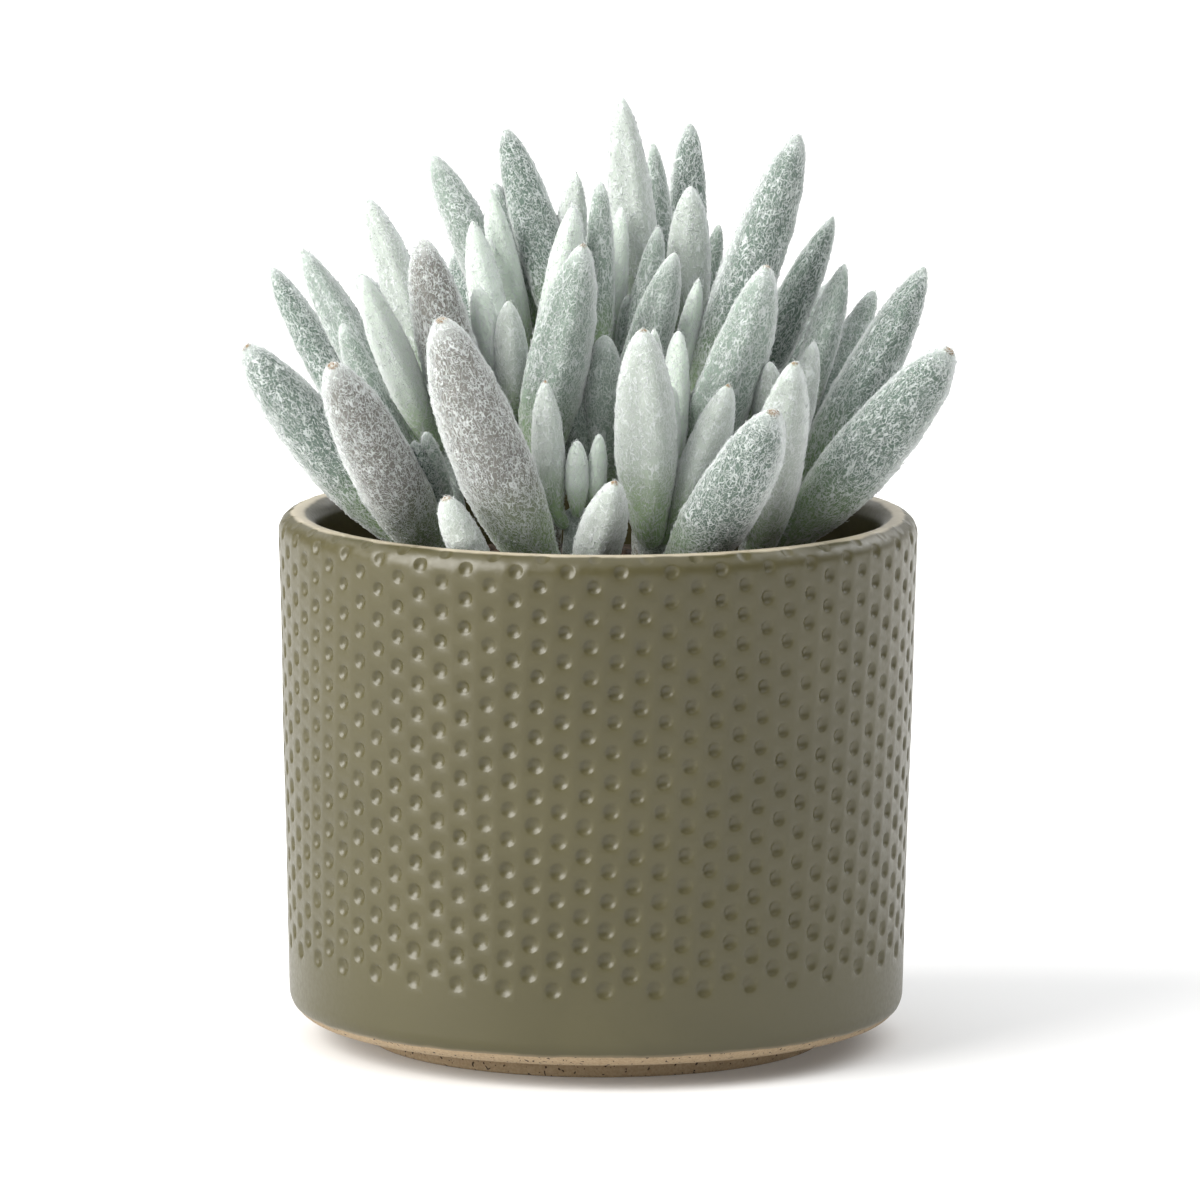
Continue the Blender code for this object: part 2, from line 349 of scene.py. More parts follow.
class Shader:
    """Adds nodes and joins them, so that a material reads from top to bottom."""

    def __init__(self, name):
        self.material = bpy.data.materials.new(name)
        self.material.use_nodes = True
        self.tree = self.material.node_tree
        self.surface = self.tree.nodes["Principled BSDF"]
        self.place = self.add("ShaderNodeTexCoord").outputs["Object"]

    def put(self, socket, value):
        if isinstance(value, bpy.types.NodeSocket):
            self.tree.links.new(value, socket)
        elif socket.type == "RGBA":
            socket.default_value = (*value, 1.0)
        else:
            socket.default_value = value

    def add(self, kind, sockets=None, **settings):
        node = self.tree.nodes.new(kind)
        for name, value in settings.items():
            setattr(node, name, value)
        for name, value in (sockets or {}).items():
            self.put(node.inputs[name], value)
        return node

    def finish(self, **sockets):
        for name, value in sockets.items():
            self.put(self.surface.inputs[name.replace("_", " ")], value)
        return self.material

    def noise(self, size, detail=2.0, distortion=0.0, shift=0.0, stretch=(1.0, 1.0, 1.0)):
        """Noise from 0 to 1 with patches about size millimetres across."""
        moved = self.add(
            "ShaderNodeMapping",
            {"Vector": self.place, "Location": (shift, shift / 2, shift / 3), "Scale": stretch},
        )
        sockets = {
            "Vector": moved.outputs["Vector"],
            "Scale": 1 / (size * MM),
            "Detail": detail,
            "Distortion": distortion,
        }
        return self.add("ShaderNodeTexNoise", sockets).outputs["Fac"]

    def math(self, operation, a, b=0.0):
        node = self.add("ShaderNodeMath", operation=operation)
        self.put(node.inputs[0], a)
        self.put(node.inputs[1], b)
        return node.outputs["Value"]

    def spread(self, value, low, high, to_low=0.0, to_high=1.0):
        """Stretches the values from low to high over to_low to to_high, eased and clamped."""
        sockets = {
            "Value": value,
            "From Min": low,
            "From Max": high,
            "To Min": to_low,
            "To Max": to_high,
        }
        return self.add("ShaderNodeMapRange", sockets, interpolation_type="SMOOTHSTEP").outputs["Result"]

    def mix(self, share, a, b):
        node = self.add("ShaderNodeMix", data_type="RGBA")
        colour_a, colour_b = (socket for socket in node.inputs if socket.type == "RGBA")
        self.put(node.inputs["Factor"], share)
        self.put(colour_a, a)
        self.put(colour_b, b)
        return next(socket for socket in node.outputs if socket.type == "RGBA")

    def attribute(self, name, output):
        return self.add("ShaderNodeAttribute", attribute_name=name).outputs[output]

    def bump(self, height, distance, strength=1.0):
        sockets = {"Height": height, "Distance": distance * MM, "Strength": strength}
        return self.add("ShaderNodeBump", sockets).outputs["Normal"]


def strands(shader, size, shift, width):
    """Thin curly lines: where a smooth noise crosses its middle value."""
    wave = shader.noise(size, detail=0.6, distortion=CURL_DISTORTION, shift=shift)
    off_middle = shader.math("ABSOLUTE", shader.math("SUBTRACT", wave, 0.5))
    return shader.spread(off_middle, 0.0, width, 1.0, 0.0)


def felt_material():
    """Curly white hairs over flesh. Each leaf brings its own flesh, cover and grain along with it; a
    leaf's cover holds a painted sheen along its outline as seen from the viewer.
    """
    shader = Shader("felt")
    flesh = shader.attribute("flesh", "Color")
    cover = shader.attribute("cover", "Fac")
    shader.place = shader.attribute("grain", "Vector")
    curls = 0.0
    for size, shift, width in CURLS:
        curls = shader.math("MAXIMUM", curls, strands(shader, size, shift, width))
    patches = shader.noise(3.2, detail=3.0, shift=0.9)
    shown = shader.spread(patches, 0.28, 0.60, 0.70, 1.0)
    under = shader.mix(shader.spread(cover, 0.20, 0.92, 0.05, 0.88), flesh, WOOL)
    white = shader.spread(cover, 0.0, 0.6, 0.80, 1.0)
    share = shader.math("MULTIPLY", shader.math("MULTIPLY", curls, shown), white)
    height = shader.math("ADD", curls, shader.math("MULTIPLY", patches, 0.6))
    return shader.finish(
        Base_Color=shader.mix(share, under, WOOL),
        Roughness=0.9,
        Normal=shader.bump(height, 0.12, 0.7),
        Sheen_Weight=0.7,
        Sheen_Roughness=0.28,
        Subsurface_Weight=0.35,
        Subsurface_Scale=0.0022,
        Subsurface_Radius=(1.0, 1.2, 0.9),
    )


def wool_material():
    """The loose hairs over the felt, a little uneven in tone."""
    shader = Shader("wool")
    patches = shader.noise(2.4, detail=2.0)
    colour = shader.mix(shader.spread(patches, 0.3, 0.7), WOOL_GREY, WOOL)
    return shader.finish(
        Base_Color=colour,
        Roughness=0.85,
        Normal=shader.bump(shader.noise(0.2), 0.01),
        Sheen_Weight=0.4,
    )


def glaze_material():
    """Satin olive glaze, thin and pale on the rim's crest, where a painted highlight is added to the
    thinner glaze, over clay that shows below its edge.
    """
    shader = Shader("olive glaze")
    height = shader.add("ShaderNodeSeparateXYZ", {"Vector": shader.place}).outputs["Z"]
    clouds = shader.noise(34.0, detail=3.0, distortion=0.4)
    grain = shader.noise(0.9, detail=4.0)
    olive = shader.mix(shader.spread(clouds, 0.32, 0.68), OLIVE, OLIVE_PALE)
    olive = shader.mix(shader.spread(grain, 0.62, 0.80, 0.0, 0.25), olive, OLIVE_DARK)
    pooled = shader.attribute("pooled", "Fac")
    olive = shader.mix(shader.math("MULTIPLY", pooled, POOLING), olive, OLIVE_DARK)
    wavering = shader.math("MULTIPLY", shader.math("SUBTRACT", shader.noise(7.0), 0.5), 0.5 * MM)
    # pale band on the rim's crest: thinning glaze, with a painted highlight along the crest
    crest = shader.spread(shader.math("ADD", height, wavering), RIM_BREAK_AND_HIGHLIGHT[0] * MM, RIM_BREAK_AND_HIGHLIGHT[1] * MM)
    olive = shader.mix(shader.math("MULTIPLY", crest, 0.85), olive, RIM_PALE_AND_HIGHLIGHT)

    sand = shader.noise(0.5, detail=4.0, shift=0.2)
    specks = shader.spread(shader.noise(0.8, detail=1.0, shift=0.7), 0.66, 0.70)
    clay = shader.mix(shader.spread(sand, 0.3, 0.7), CLAY_DARK, CLAY)
    clay = shader.mix(specks, clay, CLAY_SPECK)
    waver = shader.math("MULTIPLY", shader.math("SUBTRACT", shader.noise(5.0, shift=0.5), 0.5), 0.9 * MM)
    edge = shader.math("ADD", height, waver)
    glazed = shader.spread(edge, (GLAZE_EDGE - 0.1) * MM, (GLAZE_EDGE + 0.1) * MM)
    thin = shader.spread(edge, (GLAZE_EDGE + 0.1) * MM, (GLAZE_EDGE + THIN_GLAZE) * MM, 0.55, 0.0)
    colour = shader.mix(glazed, clay, shader.mix(thin, olive, GLAZE_BREAK))
    roughness = shader.spread(glazed, 0.0, 1.0, CLAY_ROUGHNESS, GLAZE_ROUGHNESS)
    rough_grain = shader.spread(grain, 0.3, 0.7, -0.04, 0.04)
    ripple = shader.math("ADD", shader.math("MULTIPLY", grain, 0.25), shader.math("MULTIPLY", clouds, 0.4))
    bare = shader.math("SUBTRACT", 1.0, glazed)
    relief = shader.math("ADD", ripple, shader.math("MULTIPLY", bare, sand))
    return shader.finish(
        Base_Color=colour,
        Roughness=shader.math("ADD", roughness, rough_grain),
        Specular_IOR_Level=0.6,
        Normal=shader.bump(relief, 0.09, 0.6),
    )


def soil_material():
    shader = Shader("potting soil")
    lumps = shader.noise(2.2, detail=5.0)
    fibres = shader.noise(1.1, detail=3.0, shift=0.4, stretch=(1.0, 0.3, 1.0))
    colour = shader.mix(shader.spread(lumps, 0.35, 0.65), SOIL_DARK, SOIL_LIGHT)
    colour = shader.mix(shader.spread(fibres, 0.66, 0.74, 0.0, 0.6), colour, SOIL_FIBRE)
    return shader.finish(Base_Color=colour, Roughness=0.95, Normal=shader.bump(lumps, 0.6, 0.9))


def floor_material():
    shader = Shader("studio floor")
    clouds = shader.noise(400.0, detail=1.0)
    colour = shader.mix(clouds, FLOOR_COLOUR, FLOOR_COLOUR_WARM)
    return shader.finish(
        Base_Color=colour,
        Roughness=0.8,
        Normal=shader.bump(shader.noise(2.0), 0.01, 0.2),
        Emission_Color=FLOOR_COLOUR,
        Emission_Strength=FLOOR_GLOW,
    )


def new_object(name, points, faces, material, slot, **values):
    """A smooth mesh from points in millimetres, with values at its points that its material reads."""
    mesh = bpy.data.meshes.new(name)
    mesh.from_pydata((np.asarray(points, dtype=float) * MM).tolist(), [], faces)
    mesh.shade_smooth()
    mesh.materials.append(material)
    for key, value in values.items():
        value = np.asarray(value, dtype=np.float32)
        if value.ndim == 1:
            layer = mesh.attributes.new(key, "FLOAT", "POINT")
            layer.data.foreach_set("value", value)
        elif key == "flesh":
            layer = mesh.attributes.new(key, "FLOAT_COLOR", "POINT")
            alpha = np.ones((len(value), 1), np.float32)
            layer.data.foreach_set("color", np.hstack([value, alpha]).ravel())
        else:
            layer = mesh.attributes.new(key, "FLOAT_VECTOR", "POINT")
            layer.data.foreach_set("vector", value.ravel())
    made = bpy.data.objects.new(name, mesh)
    bpy.context.scene.collection.objects.link(made)
    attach(made, "root")
    return made


def tube_faces(rings, sides, first_pole=None, last_pole=None):
    """Faces of a loft whose rings follow each other in the list of points, closed on its poles."""
    faces = []
    for k in range(rings - 1):
        for i in range(sides):
            j = (i + 1) % sides
            faces.append((k * sides + i, k * sides + j, (k + 1) * sides + j, (k + 1) * sides + i))
    for i in range(sides):
        j = (i + 1) % sides
        if first_pole is not None:
            faces.append((first_pole, j, i))
        if last_pole is not None:
            faces.append((last_pole, (rings - 1) * sides + i, (rings - 1) * sides + j))
    return faces


def arc(centre, radius, start, end, steps):
    """Points (radius, height) round a corner after its start, from one angle to another in degrees."""
    angles = [math.radians(lerp(start, end, i / steps)) for i in range(1, steps + 1)]
    return [(centre[0] + radius * math.cos(a), centre[1] + radius * math.sin(a)) for a in angles]


def inner_radius(height):
    rim_height = POT_HEIGHT - RIM_ROUNDING
    share = (rim_height - height) / (rim_height - FLOOR_HEIGHT)
    return POT_RADIUS - 2 * RIM_ROUNDING - INNER_TAPER * share


def inner_corner():
    """Centre (radius, height) of the rounding between the inner wall and the floor."""
    return (inner_radius(CORNER_HEIGHT) - FLOOR_ROUNDING, CORNER_HEIGHT)


def wall_point(column, distance, sunk=0.0):
    """A point of the pot's outside, from its place round the pot, in columns, and its distance from
    the crest of the rim. It lies sunk millimetres below the surface."""
    if distance < RIM_QUARTER:
        angle = math.pi / 2 - distance / RIM_ROUNDING
        outward, upward = math.cos(angle), math.sin(angle)
        radius = RIM_CENTRE[0] + RIM_ROUNDING * outward
        height = RIM_CENTRE[1] + RIM_ROUNDING * upward
    else:
        length = math.hypot(WALL_TAPER, RIM_CENTRE[1] - HEEL_HEIGHT)
        share = (distance - RIM_QUARTER) / length
        outward, upward = (RIM_CENTRE[1] - HEEL_HEIGHT) / length, -WALL_TAPER / length
        radius = POT_RADIUS - WALL_TAPER * share
        height = lerp(RIM_CENTRE[1], HEEL_HEIGHT, share)
    return turned_point(column, distance, radius - sunk * outward, height - sunk * upward)


def turned_point(column, distance, radius, height):
    """A point at a radius and height, turned to its column as that drifts down the wall."""
    last = FIRST_ROW + DIMPLE_PITCH * (DIMPLE_ROWS - 1)
    clamped = min(last, max(LATTICE_TOP, distance))
    drift = COLUMN_TWIST * (clamped - FIRST_ROW) / (last - FIRST_ROW)
    angle = math.radians(FIRST_COLUMN + column * 360 / COLUMNS + drift)
    x, y = math.sin(angle), -math.cos(angle)
    uneven = 1 + POT_UNEVENNESS / POT_RADIUS * noise.noise(Vector((x, y, height / POT_RADIUS)) * 2.5)
    return (radius * uneven * x, radius * uneven * y, height)


class PotMesh:
    """Grows the pot's mesh: a lattice that holds a small round grid for each dimple, and turned rings.
    For each point it keeps how deep in a dimple the point lies, from 0 to 1."""

    def __init__(self, seed):
        self.random = random.Random(seed)
        self.points = []
        self.pooled = []
        self.faces = []
        self.lattice = {}

    def add(self, point, pooled=0.0):
        self.points.append(point)
        self.pooled.append(pooled)
        return len(self.points) - 1

    def node(self, i, j):
        """The lattice's vertex at a span round the pot and a step down it."""
        key = (i % SPANS, j)
        if key not in self.lattice:
            column = key[0] / CELL_SPANS - 0.5
            self.lattice[key] = self.add(wall_point(column, LATTICE_TOP + j * STEP))
        return self.lattice[key]

    def plain(self, i, j):
        corners = ((i, j), (i, j + 1), (i + 1, j + 1), (i + 1, j))
        self.faces.append(tuple(self.node(a, b) for a, b in corners))

    def dimple(self, column, j, row):
        """A cell of the lattice from step j down, with a dimple in its middle."""
        i = column * CELL_SPANS
        across = [(i + n, j) for n in range(CELL_SPANS)]
        right = [(i + CELL_SPANS, j + n) for n in range(CELL_STEPS)]
        back = [(i + CELL_SPANS - n, j + CELL_STEPS) for n in range(CELL_SPANS)]
        left = [(i, j + CELL_STEPS - n) for n in range(CELL_STEPS)]
        border = across + right + back + left
        span = 2 * math.pi * POT_RADIUS / SPANS
        middle = (i + CELL_SPANS / 2, j + CELL_STEPS / 2)
        turns = [math.atan2((b - middle[1]) * STEP, (a - middle[0]) * span) for a, b in border]
        outer = [self.node(a, b) for a, b in border]

        depth = DIMPLE_DEPTH * self.random.uniform(0.85, 1.15)
        if j == 0:  # on the rim's rounding, where the glaze half fills them
            depth /= 2
        size = lerp(*DIMPLE_RADIUS, row / (DIMPLE_ROWS - 1)) * self.random.uniform(0.94, 1.06)
        aside, down = (self.random.uniform(-DIMPLE_DRIFT, DIMPLE_DRIFT) for _ in range(2))
        distance = LATTICE_TOP + middle[1] * STEP + down
        centre_column = middle[0] / CELL_SPANS - 0.5 + aside / (span * CELL_SPANS)
        for radius_share, depth_share in reversed(DIMPLE_RINGS):
            ring = []
            for turn in turns:
                aside = radius_share * size * math.cos(turn) / (span * CELL_SPANS)
                down = radius_share * size * math.sin(turn)
                place = wall_point(centre_column + aside, distance + down, depth * depth_share)
                ring.append(self.add(place, depth_share))
            self.join(outer, ring)
            outer = ring
        bottom = self.add(wall_point(centre_column, distance, depth), 1.0)
        for n, here in enumerate(outer):
            self.faces.append((here, bottom, outer[(n + 1) % len(outer)]))

    def join(self, outer, inner):
        for n in range(len(outer)):
            m = (n + 1) % len(outer)
            self.faces.append((outer[n], inner[n], inner[m], outer[m]))

    def ring(self, distance, radius, height):
        columns = [i / CELL_SPANS - 0.5 for i in range(SPANS)]
        return [self.add(turned_point(column, distance, radius, height)) for column in columns]

    def close(self, ring, height, downwards):
        pole = self.add((0.0, 0.0, height))
        for n, here in enumerate(ring):
            after = ring[(n + 1) % len(ring)]
            self.faces.append((here, pole, after) if downwards else (after, pole, here))


def glaze_step(radius, height):
    """The clay below the glaze's edge lies a glaze's thickness further in."""
    bare = 1 - smoothstep(GLAZE_EDGE - GLAZE_STEP, GLAZE_EDGE + GLAZE_STEP, height)
    return radius - GLAZE_THICKNESS * bare


def build_pot():
    pot = PotMesh(seed=11)
    for column in range(COLUMNS):
        staggered = column % 2
        first = 0 if staggered else CELL_STEPS // 2
        for row in range(DIMPLE_ROWS):
            pot.dimple(column, first + row * CELL_STEPS, row)
        strips = range(LATTICE_ROWS - 2, LATTICE_ROWS) if staggered else range(CELL_STEPS // 2)
        for j in strips:
            for n in range(CELL_SPANS):
                pot.plain(column * CELL_SPANS + n, j)

    bottom = LATTICE_TOP + LATTICE_ROWS * STEP
    wall_end = RIM_QUARTER + math.hypot(WALL_TAPER, RIM_CENTRE[1] - HEEL_HEIGHT)
    heel = (POT_RADIUS - WALL_TAPER - HEEL_ROUNDING, HEEL_HEIGHT)
    last = [pot.node(i, LATTICE_ROWS) for i in range(SPANS)]
    for step in range(1, WALL_STEPS + 1):
        distance = lerp(bottom, wall_end, step / WALL_STEPS)
        ring = [pot.add(wall_point(i / CELL_SPANS - 0.5, distance)) for i in range(SPANS)]
        pot.join(last, ring)
        last = ring
    profile = [(glaze_step(r, z), z) for r, z in arc(heel, HEEL_ROUNDING, 0, -90, HEEL_STEPS)]
    foot_top = (FOOT_RADIUS + FOOT_FLARE, FOOT_HEIGHT)
    profile += [(lerp(heel[0], foot_top[0], share), FOOT_HEIGHT) for share in LEDGE_SHARES]
    profile += [
        (lerp(foot_top[0], FOOT_RADIUS, share), lerp(FOOT_HEIGHT, FOOT_EDGE, share))
        for share in FOOT_SHARES
    ]
    profile += arc((FOOT_RADIUS - FOOT_EDGE, FOOT_EDGE), FOOT_EDGE, 0, -90, FOOT_STEPS)
    profile += [(radius, 0.0) for radius in BASE_RADII]
    for radius, height in profile:
        ring = pot.ring(bottom, radius, height)
        pot.join(last, ring)
        last = ring
    pot.close(last, 0.0, downwards=True)

    last = [pot.node(i, 0) for i in range(SPANS)]
    start = 90 - math.degrees(LATTICE_TOP / RIM_ROUNDING)
    inside = arc(RIM_CENTRE, RIM_ROUNDING, start, 180, RIM_STEPS)
    inside += [(inner_radius(height), height) for height in (*INNER_HEIGHTS, CORNER_HEIGHT)]
    inside += arc(inner_corner(), FLOOR_ROUNDING, 0, -90, CORNER_STEPS)
    inside += [(radius, FLOOR_HEIGHT) for radius in FLOOR_RADII]
    for radius, height in inside:
        ring = pot.ring(LATTICE_TOP, radius, height)
        pot.join(ring, last)
        last = ring
    pot.close(last, FLOOR_HEIGHT, downwards=False)
    made = new_object("pot_glazed", pot.points, pot.faces, glaze_material(), "pot", pooled=pot.pooled)
    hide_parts("pot")


def soil_height(x, y):
    """The soil's surface: a low crown with lumps of three sizes."""
    away = math.hypot(x, y) / inner_radius(SOIL_HEIGHT)
    lumps = 0.0
    for size, height in SOIL_LUMPS:
        lumps += height * noise.noise(Vector((x / size, y / size, size)))
    return SOIL_HEIGHT + SOIL_CROWN * (1 - away**2) + SOIL_ROUGHNESS * lumps


def build_soil(material):
    wall = inner_radius(SOIL_HEIGHT) - SOIL_GAP
    turns = [2 * math.pi * i / SOIL_SIDES for i in range(SOIL_SIDES)]
    rings = []
    for k in range(1, SOIL_RINGS + 1):
        away = wall * k / SOIL_RINGS
        places = [(away * math.cos(a), away * math.sin(a)) for a in turns]
        rings.append([(x, y, soil_height(x, y)) for x, y in places])
    below = [(inner_radius(height) - SOIL_GAP, height) for height in (SOIL_MIDDLE, CORNER_HEIGHT)]
    below += arc(inner_corner(), FLOOR_ROUNDING - SOIL_GAP, 0, -90, SOIL_CORNER_STEPS)
    for radius, height in below:
        rings.append([(radius * math.cos(a), radius * math.sin(a), height) for a in turns])
    points = [point for ring in rings for point in ring]
    top, base = len(points), len(points) + 1
    points += [(0, 0, soil_height(0, 0)), (0, 0, FLOOR_HEIGHT + SOIL_GAP)]
    faces = [tuple(reversed(face)) for face in tube_faces(len(rings), SOIL_SIDES, top, base)]
    made = new_object("potting_soil", points, faces, material, "soil")
    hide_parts("soil")


def unit_ball(rings, sides):
    """Points of a ball: its lower pole, its rings from there up, and its upper pole."""
    points = [(0, 0, -1)]
    for k in range(1, rings + 1):
        polar = math.pi * k / (rings + 1)
        for i in range(sides):
            a = 2 * math.pi * i / sides
            points.append((math.sin(polar) * math.cos(a), math.sin(polar) * math.sin(a), -math.cos(polar)))
    points.append((0, 0, 1))
    return points


def build_crumbs(material):
    """Crumbs of bark and peat that lie half sunk in the soil."""
    draw = random.Random(5)
    points, faces = [], []
    for crumb in range(CRUMBS):
        away = (inner_radius(SOIL_HEIGHT) - CRUMB_MARGIN) * math.sqrt(draw.random())
        turn = draw.uniform(0, 2 * math.pi)
        x, y = away * math.cos(turn), away * math.sin(turn)
        size = draw.uniform(*CRUMB_SIZE)
        stretch = (draw.uniform(0.7, 1.6), draw.uniform(0.6, 1.0), draw.uniform(0.45, 0.8))
        heading = draw.uniform(0, math.pi)
        first = len(points) + 1
        base_height = soil_height(x, y)
        for place in unit_ball(CRUMB_RINGS, CRUMB_SIDES):
            direction = Vector(place)
            lump = noise.noise(direction * 1.7 + Vector((crumb, 0, 0)))
            rough = size * (1 + CRUMB_ROUGHNESS * lump)
            a, b, c = (rough * d * s for d, s in zip(direction, stretch))
            across = a * math.cos(heading) - b * math.sin(heading)
            along = a * math.sin(heading) + b * math.cos(heading)
            points.append((x + across, y + along, base_height + c + 0.1 * size))
        for face in tube_faces(CRUMB_RINGS, CRUMB_SIDES, -1, CRUMB_RINGS * CRUMB_SIDES):
            faces.append(tuple(first + n for n in face))
    new_object("soil_crumbs", points, faces, material, "soil")


def welded(node):
    """A node's points in millimetres, each once, and the neighbours of each along its edges."""
    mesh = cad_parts[node].data
    corners = [tuple(round(value / MM, 3) for value in vertex.co) for vertex in mesh.vertices]
    number = {place: n for n, place in enumerate(sorted(set(corners)))}
    neighbours = [set() for _ in number]
    for polygon in mesh.polygons:
        loop = [number[corners[i]] for i in polygon.vertices]
        for a, b in zip(loop, loop[1:] + loop[:1]):
            neighbours[a].add(b)
            neighbours[b].add(a)
    return np.array(sorted(number)), neighbours


class Stem:
    """A stem's axis, from its solid: straight down in the soil, then leaning to its top."""

    def __init__(self, name):
        points, _ = welded(f"stem_{name}")
        levels = sorted(set(np.round(points[:, 2], 1)))
        level = [points[np.abs(points[:, 2] - height) < 0.06] for height in levels]
        self.buried, self.collar, self.top, self.pole = (ring.mean(axis=0) for ring in level)
        self.radius = np.ptp(level[1][:, 0]) / 2
        self.top_radius = np.ptp(level[2][:, 0]) / 2

    def at(self, height):
        """The axis point and the radius at a height above the soil."""
        share = (height - self.collar[2]) / (self.top[2] - self.collar[2])
        return self.collar + (self.top - self.collar) * share, lerp(self.radius, self.top_radius, share)


class Leaf:
    """A leaf's middle curve, width and place, in millimetres."""

    def __init__(self, joint, tip, curve, width):
        self.joint, self.tip, self.curve, self.width = joint, tip, curve, width
        flat = np.array([tip[0] - joint[0], tip[1] - joint[1], 0.0])
        self.outward = flat / np.linalg.norm(flat)
        self.side = np.cross(self.outward, (0, 0, 1))
        self.length = np.linalg.norm(tip - joint)

    @classmethod
    def of_node(cls, node):
        """Reads the rings of a leaf's solid, from its joint on the stem to its tip."""
        points, neighbours = welded(node)
        poles = [n for n, near in enumerate(neighbours) if len(near) == SOLID_LEAF_SIDES]
        joint, tip = sorted(poles, key=lambda n: points[n][2])
        seen, layer, centres = {joint}, {joint}, []
        widest = 0.0
        while layer != {tip}:
            seen |= layer
            layer = set().union(*(neighbours[n] for n in layer)) - seen
            ring = points[sorted(layer)]
            centres.append(ring.mean(axis=0))
            widest = max(widest, np.linalg.norm(ring - centres[-1], axis=1).max())
        curve = np.polyfit((*LEAF_STATIONS, 1.0), np.array(centres), 2)
        return cls(points[joint], points[tip], curve, 2 * widest)

    @classmethod
    def young(cls, stem, height, tip, width):
        """A small straight leaf on a stem."""
        axis, radius = stem.at(height)
        tip = np.array(tip, dtype=float)
        flat = np.array([tip[0] - axis[0], tip[1] - axis[1], 0.0])
        outward = flat / np.linalg.norm(flat)
        joint = axis + outward * radius
        foot = joint + outward * (LEAF_FOOT * width / 2)
        return cls(joint, tip, np.array([np.zeros(3), tip - foot, foot]), width)

    def centre(self, along):
        point = self.curve[0] * along**2 + self.curve[1] * along + self.curve[2]
        if along < BASE_REACH:
            base = self.joint - self.outward * BASE_SINK
            point = lerp(base, point, smoothstep(-0.02, BASE_REACH, along))
        return point

    def share_of_width(self, along, sharpness):
        if along < LEAF_WIDEST:
            return LEAF_FOOT + (1 - LEAF_FOOT) * math.sin(math.pi / 2 * along / LEAF_WIDEST)
        beyond = (along - LEAF_WIDEST) / (1 - LEAF_WIDEST)
        return (1 - beyond**LEAF_FULLNESS) ** sharpness

    def section(self, along):
        """The leaf's middle at a share of its length, and the directions across and up there."""
        heading = self.centre(min(1.0, along + 0.01)) - self.centre(max(0.0, along - 0.01))
        heading = heading / np.linalg.norm(heading)
        upper = np.cross(heading, self.side)
        upper = upper / np.linalg.norm(upper)
        if upper @ (np.array((0, 0, 1.0)) - self.outward) < 0:
            upper = -upper
        return self.centre(along), np.cross(upper, heading), upper

    def colouring(self, flesh, cover, brown, along, edge):
        """The flesh and its cover at a share of the length. Edge is 1 at the leaf's outline as seen from
        the viewer, else less, and adds a painted sheen to the cover.
        """
        tip = smoothstep(*TIP_BAND, along)
        # painted sheen: the cover whitens along the outline that the viewer sees
        cover_and_sheen = cover + PAINTED_SHEEN * edge * (1 - cover) + TIP_WHITENESS * tip * (1 - cover)
        green = GREENNESS * (1 - smoothstep(*GREEN_BAND, along))
        cover_and_sheen = min(FULLEST_COVER, cover_and_sheen) * (1 - GREEN_BARENESS * green)
        colour = lerp(flesh, np.array(BASE_GREEN), green)
        if brown:
            start, end = (1 - reach / self.length for reach in BROWN_REACH)
            point_share = smoothstep(start, end, along)
            colour = lerp(colour, np.array(TIP_BROWN), point_share)
            cover_and_sheen *= 1 - BROWN_BARENESS * point_share
        return colour, cover_and_sheen

    def surface(self, look, draw):
        """Points of the felt, ring by ring and then at both ends, each with its grain, flesh and cover,
        the cover holding a painted sheen along the outline seen from the viewer.
        """
        tone, shape, brown = look
        flesh, cover = TONES[tone]
        flesh = np.array(flesh) * draw.uniform(0.92, 1.08)
        cover = min(0.95, cover + draw.uniform(-0.04, 0.04))
        shift = np.array([draw.uniform(0, 0.5) for _ in range(3)])
        twist = math.radians(draw.uniform(-10, 10))
        lumps = Vector([draw.uniform(0, 90) for _ in range(3)])
        points, grain, colours, covers = [], [], [], []
        for k in range(LEAF_STEPS):
            along = 1 - (1 - k / LEAF_STEPS) ** TIP_CROWDING
            centre, across, upper = self.section(along)
            half = self.width / 2 * self.share_of_width(along, TIP_SHARPNESS[shape])
            facing = math.atan2(TOWARDS_VIEWER @ upper, TOWARDS_VIEWER @ across)
            for i in range(LEAF_SIDES):
                turn = 2 * math.pi * i / LEAF_SIDES
                seen_at = turn - facing - twist
                thickness = UPPER_THICKNESS if math.sin(turn) > 0 else LOWER_THICKNESS
                local = np.array([math.cos(turn), thickness * math.sin(turn)])
                offset = (across * local[0] + upper * local[1]) * half
                place = centre + offset
                rough = noise.noise(Vector(place * 0.33) + lumps)
                rough += 0.5 * noise.noise(Vector(place * 0.9) + lumps)
                swell = 1 + ridge_height(seen_at, along, RIDGES[shape])
                swell += FELT_UNEVENNESS * rough * smoothstep(*FELT_BAND, along)
                points.append(centre + offset * swell)
                grain.append((*(local * half * swell), along * self.length * GRAIN_STRETCH))
                # painted sheen: edge is 1 where the leaf turns edge-on to the viewer
                edge = abs(math.cos(seen_at + math.pi / 2)) ** PAINTED_SHEEN_NARROWNESS
                colour, cover_and_sheen = self.colouring(flesh, cover, brown, along, edge)
                colours.append(colour)
                covers.append(cover_and_sheen)
        first, last = slice(0, LEAF_SIDES), slice(len(grain) - LEAF_SIDES, len(grain))
        for point, ring in ((self.centre(0.0), first), (self.tip, last)):
            points.append(point)
            grain.append(np.mean(grain[ring], axis=0))
            colours.append(colours[ring][0])
            covers.append(covers[ring][0])
        return np.array(points), np.array(grain) * MM + shift, np.array(colours), np.array(covers)


def ridge_height(turn, along, ridges):
    """How far ridges and grooves swell a leaf, at an angle from the side that faces the viewer."""
    height = 0.0
    for at_degrees, rise, width in ridges:
        off = (math.degrees(turn) - at_degrees + 180) % 360 - 180
        height += rise * math.exp(-((off / width) ** 2))
    rising, fading = RIDGE_BANDS
    return height * smoothstep(*rising, along) * (1 - smoothstep(*fading, along))


